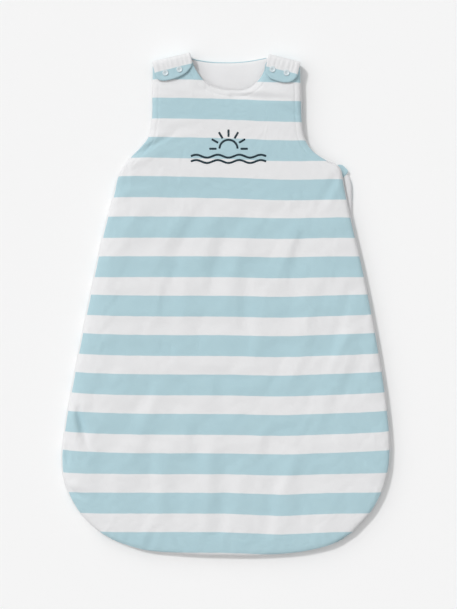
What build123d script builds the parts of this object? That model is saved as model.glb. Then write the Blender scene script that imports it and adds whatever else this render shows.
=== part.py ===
"""A sleeveless baby sleeping bag, 70 cm size, lying flat on its back with everything fastened.

Frame: +Z up from the surface that the bag lies on, +Y towards the neck, +X towards the zipped side.
The origin is the centre of the bag's footprint, on that surface. Millimetres.

The bag is a padded back and a padded front, each an outer fabric, a wadding and a lining, sewn
together down the -X side. A zip closes the +X side and the foot. Two straps grow from the back,
fold over the shoulders and close on the front with press studs.
"""

import os
from math import cos, radians, sin

from build123d import *

os.makedirs("parts", exist_ok=True)

# Driving dimensions of the laid-out shape
BAG_LENGTH = 700.0
WIDEST_HALF = 228.7  # half the width, at the hips
HIP_Y = -204.0  # where the bag is widest
CORNER_RADIUS = 140.0  # the foot's round corners
FOOT_RADIUS = 750.0  # the foot's shallow curve
UNDERARM = (153.7, 191.0)
HIP_START = (221.0, -135.0)  # where the straight side seam ends
SHOULDER_INNER = (53.9, 346.6)  # the strap's fold line, neck end
SHOULDER_OUTER = (103.0, 334.4)  # the strap's fold line, arm end
FRONT_NECK_WIDTH = 104.0
FRONT_NECK_DEPTH = 45.5
BACK_NECK_Y = 338.9
ARMHOLE_STRAIGHT_END = (104.5, 250.0)
ARMHOLE_TURN = (120.0, 215.0)
LEDGE = ((152.0, 196.0), (167.5, 184.5), (172.8, 164.0))  # the back's edge beyond the zip's end

# Layers, from the surface up
FABRIC = 1.2
WADDING = 3.6
SLEEPING_GAP = 9.0  # clear height between the two linings
PANEL = FABRIC + WADDING + FABRIC
FRONT_LOW = PANEL + SLEEPING_GAP
FRONT_TOP = FRONT_LOW + PANEL

# Straps and press studs
STRAP_WIDTH = 50.0
TAB_LENGTH = 32.0
TAB_CORNER = 13.0
TAB_WADDING = 1.3
TAB_GAP = 0.3  # air between a tab and the front below it
STRAP_THICKNESS = FABRIC + TAB_WADDING + FABRIC
STUD_SPACING = 20.0
STUD_FROM_FOLD = 17.0
STUD_CAP_RADIUS = 5.0
STUD_POST_RADIUS = 1.0
SOCKET_RADIUS = 4.4

# Zip
ZIP_INSET = 6.5  # from the panels' edge to the teeth
TAPE_THICKNESS = 0.8
TEETH_THICKNESS = 2.4
TEETH_ROW = 1.8
TEETH_SPLIT = 0.8  # between the rows, where the slider's web runs
ZIP_Z = PANEL + SLEEPING_GAP / 2
ZIP_TOP_S = 6.0  # from the underarm point to the first tooth
ZIP_END_ANGLE = 30.0  # round the far foot corner, from straight down
SLIDER_S = 18.0  # the closed slider, from the underarm point
SLIDER_LENGTH = 12.0
SLIDER_WIDTH = 7.6
SLIDER_PLATE = 1.2
PULL_LENGTH = 17.0

# The front's lower corner folds open along a slanting line
FOLD_SIDE_Y = 135.0
FOLD_CUT = 0.3

# Directions that several pieces share
side_run = Vector(HIP_START[0] - UNDERARM[0], HIP_START[1] - UNDERARM[1]).normalized()
side_out = Vector(-side_run.Y, side_run.X)
foot_centre = Vector(0, FOOT_RADIUS - BAG_LENGTH / 2)
corner_centre = Vector(WIDEST_HALF - CORNER_RADIUS, HIP_Y)
foot_to_corner = (corner_centre - foot_centre).normalized()
strap_run = Vector(
    SHOULDER_OUTER[0] - SHOULDER_INNER[0], SHOULDER_OUTER[1] - SHOULDER_INNER[1]
).normalized()
strap_middle = (Vector(*SHOULDER_INNER) + Vector(*SHOULDER_OUTER)) * 0.5


def side_point(s, inset=0.0):
    """The point s along the straight side seam from the underarm, moved in by inset."""
    return Vector(*UNDERARM) + side_run * s - side_out * inset


def corner_point(angle, inset=0.0, side=1):
    """A point on the foot corner's arc, angle degrees from straight down."""
    radius = CORNER_RADIUS - inset
    x = corner_centre.X + radius * sin(radians(angle))
    return Vector(side * x, corner_centre.Y - radius * cos(radians(angle)))


straight_side = (Vector(*HIP_START) - Vector(*UNDERARM)).length
fold_side = side_point((UNDERARM[1] - FOLD_SIDE_Y) / -side_run.Y)
fold_foot = corner_point(ZIP_END_ANGLE, side=-1)
fold_run = (fold_foot - fold_side).normalized()
fold_out = Vector(-fold_run.Y, fold_run.X)  # towards the corner that opens


def write(built, name):
    """Labels a finished sub-part and writes its STEP file."""
    built.part.label = name
    export_step(built.part, f"parts/{name}.step")


# ---------------------------------------------------------------- outlines
# Both panels share the arm edge, the side and the foot. The front's neck is deeper.


def right_edge(first_s=0.0):
    """The side and the foot's +X half, from first_s below the underarm to the foot's middle."""
    start, hip = side_point(first_s), side_point(straight_side)
    widest = Vector(WIDEST_HALF, HIP_Y)
    foot_corner = foot_centre + foot_to_corner * FOOT_RADIUS
    with BuildLine() as edge:
        side = Line(start, hip)
        hip_arc = TangentArc(hip, widest, tangent=side % 1)
        corner = TangentArc(widest, foot_corner, tangent=hip_arc % 1)
        TangentArc(foot_corner, (0, -BAG_LENGTH / 2), tangent=corner % 1)
    return edge.line


def arm_edge(shoulder, end):
    """The armhole, from the shoulder's outer end to its end under the arm."""
    with BuildLine() as edge:
        Line(shoulder, ARMHOLE_STRAIGHT_END)
        turn = TangentArc(ARMHOLE_STRAIGHT_END, ARMHOLE_TURN, tangent=(0, -1))
        TangentArc(ARMHOLE_TURN, end, tangent=turn % 1)
    return edge.line


front_shoulder = [
    Vector(*SHOULDER_INNER) + Vector(-strap_run.Y, strap_run.X) * -2.0,
    Vector(*SHOULDER_OUTER) + Vector(-strap_run.Y, strap_run.X) * -2.0,
]
neck_top = Vector(FRONT_NECK_WIDTH / 2, 345.0)

with BuildSketch() as front_outline:
    with BuildLine():
        Line(neck_top, front_shoulder[1])
        add(arm_edge(front_shoulder[1], UNDERARM))
        add(right_edge())
        mirror(about=Plane.YZ)
        ThreePointArc((-neck_top.X, neck_top.Y), (0, neck_top.Y - FRONT_NECK_DEPTH), neck_top)
    make_face()
    underarms = front_outline.vertices().filter_by(lambda v: abs(v.Y - UNDERARM[1]) < 0.01)
    fillet(underarms, radius=8)


# Under the zipped arm the back reaches past the front, to carry the zip's end.
with BuildSketch() as back_outline:
    with BuildLine():
        Line(SHOULDER_INNER, SHOULDER_OUTER)
        add(arm_edge(SHOULDER_OUTER, UNDERARM))
        add(right_edge())
        mirror(about=Plane.YZ)
        ThreePointArc(
            (-SHOULDER_INNER[0], SHOULDER_INNER[1]), (0, BACK_NECK_Y), SHOULDER_INNER
        )
    make_face()
    with BuildLine():
        arm = arm_edge(SHOULDER_OUTER, LEDGE[0])
        add(arm)
        ThreePointArc(*LEDGE)
        Line(LEDGE[2], side_point(90))
        Line(side_point(90), (120, 100))
        Line((120, 100), (60, 250))
        Line((60, 250), SHOULDER_OUTER)
    make_face()
    underarm = back_outline.vertices().filter_by(lambda v: abs(v.Y - UNDERARM[1]) < 0.01)
    fillet(underarm.sort_by(Axis.X)[0], radius=8)

# ---------------------------------------------------------------- back panel

with BuildPart() as back_outer_panel:
    with BuildSketch():
        add(back_outline.sketch)
    extrude(amount=FABRIC + WADDING)
    with BuildSketch(Plane.XY.offset(FABRIC)):
        add(back_outline.sketch)
        offset(amount=-FABRIC, mode=Mode.REPLACE)
    extrude(amount=WADDING, mode=Mode.SUBTRACT)
write(back_outer_panel, "back_outer_panel")

with BuildPart() as back_wadding:
    with BuildSketch(Plane.XY.offset(FABRIC)):
        add(back_outline.sketch)
        offset(amount=-FABRIC - 0.2, mode=Mode.REPLACE)
    extrude(amount=WADDING)
write(back_wadding, "back_wadding")

with BuildPart() as back_lining:
    with BuildSketch(Plane.XY.offset(FABRIC + WADDING)):
        add(back_outline.sketch)
    extrude(amount=FABRIC)
write(back_lining, "back_lining")

# ---------------------------------------------------------------- front panel
# Each front layer is cut along the slanting fold line into an upper part, which stays snapped
# and sewn to the back, and the lower corner, which the zip frees.

stud_places = {
    side: Plane(
        origin=(side * strap_middle.X, strap_middle.Y, 0),
        x_dir=(strap_run.X, side * strap_run.Y, 0),
        z_dir=(0, 0, 1),
    )
    for side in (-1, 1)
}


def stud_points():
    """The four press-stud axes on the shoulders, in the row frame."""
    local = [Vector(dx, -STUD_FROM_FOLD) for dx in (-STUD_SPACING / 2, STUD_SPACING / 2)]
    return [plane.from_local_coords(point) for plane in stud_places.values() for point in local]


def fold_plane(shift):
    """The vertical plane through the fold line, shifted towards the corner that opens."""
    return Plane(
        origin=fold_side + fold_out * shift,
        x_dir=fold_run,
        z_dir=fold_out,
    )


def cut_at_fold(built, stem):
    """Writes a front layer's upper part and its opening corner as two nodes."""
    for suffix, keep, shift in (("upper", Keep.BOTTOM, -1), ("flap", Keep.TOP, 1)):
        with BuildPart() as half:
            add(built.part)
            split(bisect_by=fold_plane(shift * FOLD_CUT / 2), keep=keep)
        write(half, f"{stem}_{suffix}")


with BuildPart() as front_outer_panel:
    with BuildSketch(Plane.XY.offset(FRONT_LOW + FABRIC)):
        add(front_outline.sketch)
    extrude(amount=WADDING + FABRIC)
    with BuildSketch(Plane.XY.offset(FRONT_LOW + FABRIC)):
        add(front_outline.sketch)
        offset(amount=-FABRIC, mode=Mode.REPLACE)
    extrude(amount=WADDING, mode=Mode.SUBTRACT)
    with Locations(*[(p.X, p.Y, FRONT_TOP) for p in stud_points()]):
        Hole(radius=STUD_POST_RADIUS + 0.2, depth=PANEL)
cut_at_fold(front_outer_panel, "front_outer_panel")

with BuildPart() as front_wadding:
    with BuildSketch(Plane.XY.offset(FRONT_LOW + FABRIC)):
        add(front_outline.sketch)
        offset(amount=-FABRIC - 0.2, mode=Mode.REPLACE)
    extrude(amount=WADDING)
    with Locations(*[(p.X, p.Y, FRONT_TOP) for p in stud_points()]):
        Hole(radius=STUD_POST_RADIUS + 0.2, depth=PANEL)
cut_at_fold(front_wadding, "front_wadding")

with BuildPart() as front_lining:
    with BuildSketch(Plane.XY.offset(FRONT_LOW)):
        add(front_outline.sketch)
    extrude(amount=FABRIC)
    with Locations(*[(p.X, p.Y, FRONT_TOP) for p in stud_points()]):
        Hole(radius=STUD_POST_RADIUS + 0.2, depth=PANEL)
cut_at_fold(front_lining, "front_lining")

# ---------------------------------------------------------------- side seam
# Front and back are sewn together from the underarm to the zip's lower end, on the -X side.

with BuildPart() as side_seam:
    with BuildSketch(Plane.XY.offset(PANEL)):
        inset = 2.0
        with BuildLine():
            top = side_point(6, inset)
            hip = side_point(straight_side, inset)
            widest = Vector(WIDEST_HALF - inset, HIP_Y)
            seam = Line((-top.X, top.Y), (-hip.X, hip.Y))
            hip_arc = TangentArc((-hip.X, hip.Y), (-widest.X, HIP_Y), tangent=seam % 1)
            end = corner_point(ZIP_END_ANGLE + 2, inset, side=-1)
            TangentArc((-widest.X, HIP_Y), end, tangent=hip_arc % 1)
        trace(line_width=FABRIC)
    extrude(amount=SLEEPING_GAP)
write(side_seam, "side_seam")

# ---------------------------------------------------------------- zip
# The teeth run down the side, round the corner, along the foot and part way round the far corner.


def zip_path(first_s):
    """The teeth's line, from first_s below the underarm to the lower end."""
    widest = Vector(WIDEST_HALF - ZIP_INSET, HIP_Y)
    foot_corner = foot_centre + foot_to_corner * (FOOT_RADIUS - ZIP_INSET)
    far_end = corner_point(ZIP_END_ANGLE - 1, ZIP_INSET, side=-1)
    with BuildLine() as path:
        side = Line(side_point(first_s, ZIP_INSET), side_point(straight_side, ZIP_INSET))
        hip_arc = TangentArc(side @ 1, widest, tangent=side % 1)
        corner = TangentArc(widest, foot_corner, tangent=hip_arc % 1)
        foot = TangentArc(foot_corner, (-foot_corner.X, foot_corner.Y), tangent=corner % 1)
        TangentArc(foot @ 1, far_end, tangent=foot % 1)
    return path.line


teeth_low = ZIP_Z - TEETH_SPLIT / 2 - TEETH_ROW
teeth_high = ZIP_Z + TEETH_SPLIT / 2
strips = {
    "zip_tape_back": (2.0, TAPE_THICKNESS, PANEL, teeth_low),
    "zip_teeth_back": (ZIP_TOP_S, TEETH_THICKNESS, teeth_low, teeth_low + TEETH_ROW),
    "zip_teeth_front": (ZIP_TOP_S, TEETH_THICKNESS, teeth_high, teeth_high + TEETH_ROW),
    "zip_tape_front": (2.0, TAPE_THICKNESS, teeth_high + TEETH_ROW, FRONT_LOW),
}
for name, (first_s, thickness, low, high) in strips.items():
    with BuildPart() as strip:
        with BuildSketch(Plane.XY.offset(low)):
            with BuildLine():
                add(zip_path(first_s))
            trace(line_width=thickness)
        extrude(amount=high - low)
    if name.endswith("back"):
        write(strip, name)
    else:
        cut_at_fold(strip, name)

with BuildPart() as zip_top_stops:
    stop_plane = Plane(origin=side_point(ZIP_TOP_S - 1.6, ZIP_INSET), x_dir=side_run, z_dir=(0, 0, 1))
    for low in (teeth_low, teeth_high):
        with BuildSketch(stop_plane.offset(low)):
            Rectangle(2.6, TEETH_THICKNESS)
        extrude(amount=TEETH_ROW)
write(zip_top_stops, "zip_top_stops")

with BuildPart() as zip_bottom_stop:
    stop_point = corner_point(ZIP_END_ANGLE + 1.2, ZIP_INSET, side=-1)
    stop_plane = Plane(
        origin=stop_point,
        x_dir=(cos(radians(ZIP_END_ANGLE)), -sin(radians(ZIP_END_ANGLE)), 0),
        z_dir=(0, 0, 1),
    )
    with BuildSketch(stop_plane.offset(PANEL + 0.5)):
        RectangleRounded(3.4, 3.6, 0.8)
    extrude(amount=SLEEPING_GAP - 1.0)
write(zip_bottom_stop, "zip_bottom_stop")

# The guard is a folded pad of outer fabric over the zip's upper end, under the arm.
with BuildPart() as underarm_zip_guard:
    guard_plane = Plane(origin=side_point(0, ZIP_INSET), x_dir=side_run, z_dir=(0, 0, 1))
    with BuildSketch(Plane.XY.offset(PANEL)):
        with BuildLine():
            Polyline((170.0, 175.0), (158.5, 177.5), (156.5, 186.0), (152.0, 186.0), (152.0, 193.0))
            ThreePointArc((152.0, 193.0), (164.0, 185.0), (170.0, 175.0))
        make_face()
    extrude(amount=1.8)
    with BuildSketch(guard_plane.offset(PANEL)):
        with Locations((-1.5, 4.0)):
            RectangleRounded(5.0, 12.0, 1.5)
    extrude(amount=SLEEPING_GAP - 0.4)
write(underarm_zip_guard, "underarm_zip_guard")

slider_plane = Plane(origin=side_point(SLIDER_S, ZIP_INSET), x_dir=side_run, z_dir=(0, 0, 1))
plate_gap = TEETH_THICKNESS / 2 + 0.3
crown_radius = 2.6
pull_axis_out = plate_gap + SLIDER_PLATE + 1.2

with BuildPart() as zip_slider:
    with BuildSketch(slider_plane.offset(ZIP_Z - SLIDER_WIDTH / 2)):
        with Locations((0, plate_gap + SLIDER_PLATE / 2), (0, -plate_gap - SLIDER_PLATE / 2)):
            Rectangle(SLIDER_LENGTH, SLIDER_PLATE)
    extrude(amount=SLIDER_WIDTH)
    plate_corners = zip_slider.edges().filter_by(lambda e: abs(e.length - SLIDER_PLATE) < 0.01)
    fillet(plate_corners, radius=1.4)
    # Lips along the long edges, which keep the teeth between the plates
    for low in (ZIP_Z - SLIDER_WIDTH / 2, ZIP_Z + SLIDER_WIDTH / 2 - 0.7):
        with BuildSketch(slider_plane.offset(low)):
            with Locations((0, plate_gap - 0.3), (0, 0.3 - plate_gap)):
                Rectangle(SLIDER_LENGTH - 3.4, 0.75)
        extrude(amount=0.7)
    # The web that parts the two rows of teeth
    with BuildSketch(slider_plane.offset(ZIP_Z - 0.25)):
        with Locations((-4.0, 0)):
            Rectangle(3.0, 2 * plate_gap + 0.4)
    extrude(amount=0.5)
    # The crown that the pull swings in
    with BuildSketch(slider_plane.offset(ZIP_Z - 1.0)):
        with Locations((0, plate_gap + SLIDER_PLATE - 0.1)):
            Circle(crown_radius)
        with Locations((0, plate_gap + SLIDER_PLATE / 2 - crown_radius)):
            Rectangle(4 * crown_radius, 2 * crown_radius, mode=Mode.SUBTRACT)
        with Locations((0, pull_axis_out)):
            Circle(0.8, mode=Mode.SUBTRACT)
    extrude(amount=2.0)
write(zip_slider, "zip_slider")

with BuildPart() as zip_pull:
    arm_reach, pull_half = 3.5, 2.3
    with BuildSketch(slider_plane.offset(ZIP_Z - pull_half)):
        with Locations((0, pull_axis_out)):
            Circle(0.72)
    extrude(amount=2 * pull_half)
    for low in (ZIP_Z - pull_half, ZIP_Z + 1.2):
        with BuildSketch(slider_plane.offset(low)):
            with Locations(((arm_reach + 1) / 2, pull_axis_out)):
                SlotOverall(arm_reach + 2.4, 1.3)
        extrude(amount=pull_half - 1.2)
    pull_face = Plane(
        origin=slider_plane.from_local_coords(Vector(0, pull_axis_out - 0.6, ZIP_Z)),
        x_dir=side_run,
        z_dir=side_out,
    )
    with BuildSketch(pull_face):
        with Locations(((arm_reach + PULL_LENGTH) / 2, 0)):
            RectangleRounded(PULL_LENGTH - arm_reach, 2 * pull_half, 1.6)
        with Locations((PULL_LENGTH - 3.4, 0)):
            Circle(1.1, mode=Mode.SUBTRACT)
        with Locations((PULL_LENGTH / 2, 0)):
            SlotOverall(7.0, 1.4, mode=Mode.SUBTRACT)
    extrude(amount=1.2)
write(zip_pull, "zip_pull")

# ---------------------------------------------------------------- shoulder straps
# Each strap stands up over the shoulder's end as a riser, then lies forward as a tab.

tab_low = FRONT_TOP + TAB_GAP
tab_top = tab_low + STRAP_THICKNESS
socket_top = tab_low + 2.3
cavity_top = tab_low + 1.6


def studs_on(plane, z):
    """The strap's two stud places, on its plane raised to z."""
    raised = plane.offset(z)
    return [
        Location(raised.from_local_coords(Vector(dx, -STUD_FROM_FOLD)))
        for dx in (-STUD_SPACING / 2, STUD_SPACING / 2)
    ]


for side, hand in ((-1, "left"), (1, "right")):
    plane = stud_places[side]

    with BuildPart() as riser_lining:
        with BuildSketch(plane.offset(FABRIC)):
            with Locations((0, (FABRIC + TAB_WADDING) / 2)):
                Rectangle(STRAP_WIDTH, FABRIC + TAB_WADDING)
        extrude(amount=FRONT_TOP - FABRIC)
    write(riser_lining, f"{hand}_riser_lining")

    with BuildPart() as riser_outer:
        with BuildSketch(plane):
            with Locations((0, STRAP_THICKNESS / 2)):
                Rectangle(STRAP_WIDTH, STRAP_THICKNESS)
        extrude(amount=FABRIC)
        with BuildSketch(plane.offset(FABRIC)):
            with Locations((0, STRAP_THICKNESS - FABRIC / 2)):
                Rectangle(STRAP_WIDTH, FABRIC)
        extrude(amount=FRONT_TOP - FABRIC)
    write(riser_outer, f"{hand}_riser_outer")

    with BuildSketch() as tab_outline:
        with Locations((0, (STRAP_THICKNESS - TAB_LENGTH) / 2)):
            Rectangle(STRAP_WIDTH, TAB_LENGTH + STRAP_THICKNESS)
        fillet(tab_outline.vertices().group_by(Axis.Y)[0], radius=TAB_CORNER)

    with BuildPart() as tab_lining:
        with BuildSketch(plane.offset(tab_low)):
            add(tab_outline.sketch)
            with Locations((-STUD_SPACING / 2, -STUD_FROM_FOLD), (STUD_SPACING / 2, -STUD_FROM_FOLD)):
                Circle(SOCKET_RADIUS + 0.3, mode=Mode.SUBTRACT)
        extrude(amount=FABRIC)
    write(tab_lining, f"{hand}_tab_lining")

    with BuildPart() as tab_wadding:
        with BuildSketch(plane.offset(tab_low + FABRIC)):
            add(tab_outline.sketch)
            offset(amount=-FABRIC - 0.2, mode=Mode.REPLACE)
            with Locations((-STUD_SPACING / 2, -STUD_FROM_FOLD), (STUD_SPACING / 2, -STUD_FROM_FOLD)):
                Circle(SOCKET_RADIUS + 0.3, mode=Mode.SUBTRACT)
        extrude(amount=TAB_WADDING)
    write(tab_wadding, f"{hand}_tab_wadding")

    with BuildPart() as tab_outer:
        with BuildSketch(plane.offset(tab_low + FABRIC)):
            add(tab_outline.sketch)
        extrude(amount=TAB_WADDING + FABRIC)
        with BuildSketch(plane.offset(tab_low + FABRIC)):
            add(tab_outline.sketch)
            offset(amount=-FABRIC, mode=Mode.REPLACE)
        extrude(amount=TAB_WADDING, mode=Mode.SUBTRACT)
        with Locations(*studs_on(plane, tab_top)):
            Hole(radius=STUD_POST_RADIUS + 0.2, depth=STRAP_THICKNESS)
    write(tab_outer, f"{hand}_tab_outer")

    with BuildPart() as snap_caps:
        with Locations(*studs_on(plane, tab_top)):
            Cylinder(STUD_CAP_RADIUS, 1.4, align=(Align.CENTER, Align.CENTER, Align.MIN))
        rims = snap_caps.edges().filter_by(GeomType.CIRCLE).group_by(Axis.Z)[-1]
        fillet(rims, radius=1.1)
        with Locations(*studs_on(plane, cavity_top)):
            Cylinder(
                STUD_POST_RADIUS,
                tab_top - cavity_top,
                align=(Align.CENTER, Align.CENTER, Align.MIN),
            )
    write(snap_caps, f"{hand}_snap_caps")

    with BuildPart() as snap_sockets:
        with Locations(*studs_on(plane, tab_low + 0.1)):
            Cylinder(SOCKET_RADIUS, socket_top - tab_low - 0.1, align=(Align.CENTER, Align.CENTER, Align.MIN))
        rims = snap_sockets.edges().filter_by(GeomType.CIRCLE).group_by(Axis.Z)[-1]
        fillet(rims, radius=0.5)
        with Locations(*studs_on(plane, tab_low + 0.1)):
            Cylinder(
                2.9,
                cavity_top - tab_low - 0.1,
                align=(Align.CENTER, Align.CENTER, Align.MIN),
                mode=Mode.SUBTRACT,
            )
        with Locations(*studs_on(plane, cavity_top)):
            Cylinder(
                STUD_POST_RADIUS,
                socket_top - cavity_top,
                align=(Align.CENTER, Align.CENTER, Align.MIN),
                mode=Mode.SUBTRACT,
            )
    write(snap_sockets, f"{hand}_snap_sockets")

    with BuildPart() as snap_studs:
        with Locations(*studs_on(plane, FRONT_TOP)):
            Cylinder(4.6, 0.25, align=(Align.CENTER, Align.CENTER, Align.MIN))
            Cylinder(1.9, 1.5, align=(Align.CENTER, Align.CENTER, Align.MIN))
        rims = snap_studs.edges().filter_by(GeomType.CIRCLE).group_by(Axis.Z)[-1]
        fillet(rims, radius=0.5)
    write(snap_studs, f"{hand}_snap_studs")

    with BuildPart() as snap_posts:
        with Locations(*studs_on(plane, FRONT_LOW)):
            Cylinder(STUD_CAP_RADIUS, 1.0, align=(Align.CENTER, Align.CENTER, Align.MAX))
            Cylinder(STUD_POST_RADIUS, PANEL, align=(Align.CENTER, Align.CENTER, Align.MIN))
    write(snap_posts, f"{hand}_snap_posts")

# ---------------------------------------------------------------- chest embroidery
# A plain half sun over two wavy lines, in raised satin stitch.

STITCH_HEIGHT = 0.6
STITCH_WIDTH = 2.3
SUN_CENTRE = Vector(3.5, 216.5)
SUN_RADIUS = 12.5
RAY_INNER, RAY_OUTER, RAYS = 16.5, 27.0, 7
WAVE_LINES = (206.2, 198.8)
WAVE_SPAN, WAVE_LIFT, WAVES = 105.0, 2.0, 7

with BuildPart() as sun_embroidery:
    with BuildSketch(Plane.XY.offset(FRONT_TOP)):
        with BuildLine():
            CenterArc(SUN_CENTRE, SUN_RADIUS, 0, 180)
        trace(line_width=STITCH_WIDTH)
        for ray in range(RAYS):
            angle = 180.0 * ray / (RAYS - 1)
            reach = Vector((RAY_INNER + RAY_OUTER) / 2, 0).rotate(Axis.Z, angle)
            with Locations(Location(SUN_CENTRE + reach, angle)):
                SlotOverall(RAY_OUTER - RAY_INNER, STITCH_WIDTH)
    extrude(amount=STITCH_HEIGHT)
write(sun_embroidery, "sun_embroidery")

with BuildPart() as wave_embroidery:
    with BuildSketch(Plane.XY.offset(FRONT_TOP)):
        step = WAVE_SPAN / WAVES
        for line_y in WAVE_LINES:
            for wave in range(WAVES):
                start = Vector(SUN_CENTRE.X - WAVE_SPAN / 2 + step * wave, line_y)
                lift = WAVE_LIFT if wave % 2 else -WAVE_LIFT
                with BuildLine():
                    ThreePointArc(start, start + Vector(step / 2, lift), start + Vector(step, 0))
                trace(line_width=STITCH_WIDTH)
    extrude(amount=STITCH_HEIGHT)
write(wave_embroidery, "wave_embroidery")

# ---------------------------------------------------------------- care label
# A blank satin label, sewn by one edge into the side seam, lying on the back lining.

with BuildPart() as care_label:
    with BuildSketch(Plane.XY.offset(PANEL)):
        with Locations((-166.0, 10.0)):
            Rectangle(36.0, 24.0)
    extrude(amount=0.4)
write(care_label, "care_label")
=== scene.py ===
"""A sleeveless baby sleeping bag for the 70 cm size, laid flat on its back and fastened.

The sections follow the making of the bag: the panels are cut and padded, the side is sewn, the
zip is set in, the straps and press studs go on, and the chest is embroidered. Shapes are worked
out in millimetres and put into their meshes in metres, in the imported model's own frame.
"""

import bpy
import numpy as np
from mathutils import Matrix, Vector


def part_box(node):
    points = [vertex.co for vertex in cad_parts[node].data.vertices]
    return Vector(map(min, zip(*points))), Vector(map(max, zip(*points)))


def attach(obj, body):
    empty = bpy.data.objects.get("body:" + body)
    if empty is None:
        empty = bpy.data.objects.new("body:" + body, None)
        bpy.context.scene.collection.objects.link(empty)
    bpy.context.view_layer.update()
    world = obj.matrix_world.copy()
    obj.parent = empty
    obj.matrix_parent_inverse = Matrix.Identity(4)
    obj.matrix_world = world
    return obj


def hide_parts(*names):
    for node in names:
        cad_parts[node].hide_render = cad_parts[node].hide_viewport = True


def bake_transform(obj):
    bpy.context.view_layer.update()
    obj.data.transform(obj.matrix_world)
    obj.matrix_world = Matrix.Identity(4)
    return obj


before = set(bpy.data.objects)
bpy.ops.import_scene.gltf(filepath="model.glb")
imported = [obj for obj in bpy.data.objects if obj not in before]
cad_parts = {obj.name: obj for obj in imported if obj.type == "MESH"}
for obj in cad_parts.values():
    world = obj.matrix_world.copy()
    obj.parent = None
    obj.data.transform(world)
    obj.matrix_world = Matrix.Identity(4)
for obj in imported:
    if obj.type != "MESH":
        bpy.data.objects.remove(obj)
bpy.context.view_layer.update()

# ------------------------------------------------------------------ Jersey and its stripes
# The outer fabric is a brushed cotton jersey, knitted white and printed with level blue bands.
# The lining is the same knit left white. Both are soft, matt and a little fuzzy.

MM = 0.001
BLUE = (0.466, 0.652, 0.708, 1)
DEEPER_BLUE = (0.434, 0.622, 0.684, 1)
WHITE = (0.842, 0.842, 0.850, 1)
WARM_WHITE = (0.806, 0.808, 0.818, 1)
BAND_PITCH = 54.79
BLUE_TOP = 67.6  # the height in the pattern at which one blue band ends
BLUE_SHARE = 0.528
WALE = 1.15  # width of one column of knit stitches


class Value:
    """A number that varies over a surface. Arithmetic on it adds Math nodes to its material."""

    def __init__(self, finish, socket):
        self.finish = finish
        self.socket = socket

    def _math(self, operation, *operands):
        return self.finish.node("Math", {"operation": operation}, dict(enumerate(operands)))

    def __add__(self, other):
        return self._math("ADD", self, other)

    __radd__ = __add__

    def __sub__(self, other):
        return self._math("SUBTRACT", self, other)

    def __rsub__(self, other):
        return self._math("SUBTRACT", other, self)

    def __mul__(self, other):
        return self._math("MULTIPLY", self, other)

    __rmul__ = __mul__

    def __truediv__(self, other):
        return self._math("DIVIDE", self, other)

    def __mod__(self, other):
        return self._math("FLOORED_MODULO", self, other)

    def sine(self):
        return self._math("SINE", self)

    def clamped(self):
        return self._math("MAXIMUM", self._math("MINIMUM", self, 1.0), 0.0)


class Finish:
    """A material whose nodes are added one by one, ending in one Principled shader."""

    def __init__(self, name, **settings):
        self.material = bpy.data.materials.new(name)
        self.material.use_nodes = True
        self.nodes = self.material.node_tree.nodes
        self.links = self.material.node_tree.links
        self.shader = self.nodes["Principled BSDF"]
        for socket, value in settings.items():
            self.set(socket.replace("_", " ").title().replace("Ior", "IOR"), value)

    def set(self, socket, value):
        self._feed(self.shader.inputs[socket], value)

    def _feed(self, socket, value):
        if isinstance(value, Value):
            self.links.new(value.socket, socket)
        else:
            socket.default_value = value

    def node(self, kind, settings, sockets, output=0):
        """Adds a node of that type, with its settings first and then its sockets' values or links."""
        made = self.nodes.new("ShaderNode" + kind)
        for name, value in settings.items():
            setattr(made, name, value)
        for name, value in sockets.items():
            self._feed(made.inputs[name], value)
        return Value(self, made.outputs[output])

    def split(self, vector):
        """The three components of a vector."""
        first = self.node("SeparateXYZ", {}, {0: vector})
        return [Value(self, socket) for socket in first.socket.node.outputs]

    def place(self):
        """Where a point is, in metres, in the frame of the whole bag."""
        return self.node("TexCoord", {}, {}, "Object")

    def noise(self, vector, scale, detail=2.0):
        return self.node("TexNoise", {}, {"Vector": vector, "Scale": scale, "Detail": detail})

    def mix(self, share, first, second):
        """A colour that goes from first to second as share goes from 0 to 1."""
        return self.node("Mix", {"data_type": "RGBA"}, {0: share, 6: first, 7: second}, 2)

    def bump(self, height, distance, strength=1.0):
        made = self.node("Bump", {}, {"Height": height, "Distance": distance, "Strength": strength})
        self.set("Normal", made)


def jersey(name, striped):
    """Knit: rows of loops as crossed ripples, with a fuzzy nap, pilling and faint shade patches."""
    cloth = Finish(name, sheen_weight=0.25, sheen_roughness=0.45, specular_ior_level=0.25)
    cut = cloth.node("Attribute", {"attribute_name": "cut"}, {}, "Vector")
    x, y, _ = cloth.split(cut)
    patches = cloth.noise(cut, 38.0, 4.0)
    nap = cloth.noise(cut, 700.0, 2.0)
    loops = (x * (2 * np.pi / (WALE * MM))).sine() * (y * (2 * np.pi / (0.8 * WALE * MM))).sine()
    white = cloth.mix(patches, WHITE, WARM_WHITE)
    if striped:
        wander = (cloth.noise(cut, 55.0, 3.0) - 0.5) * 0.0011
        band = ((y + wander - BLUE_TOP * MM) * (-1 / (BAND_PITCH * MM))) % 1.0
        edge = 0.45 / BAND_PITCH
        blue_starts = ((band + edge) / (2 * edge)).clamped()
        blue_ends = ((band - BLUE_SHARE + edge) / (2 * edge)).clamped()
        wraps = ((band - 1.0 + edge) / (2 * edge)).clamped()
        inked = (blue_starts - blue_ends + wraps).clamped()
        worn = (inked * (1.03 - nap * 0.10 + loops * 0.03)).clamped()
        blue = cloth.mix(patches, BLUE, DEEPER_BLUE)
        cloth.set("Base Color", cloth.mix(worn, white, blue))
    else:
        cloth.set("Base Color", white)
    cloth.set("Roughness", nap * 0.12 + 0.82)
    cloth.bump(loops * 0.35 + nap * 1.1 + patches * 0.5, 0.0003, 0.8)
    return cloth.material


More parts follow.
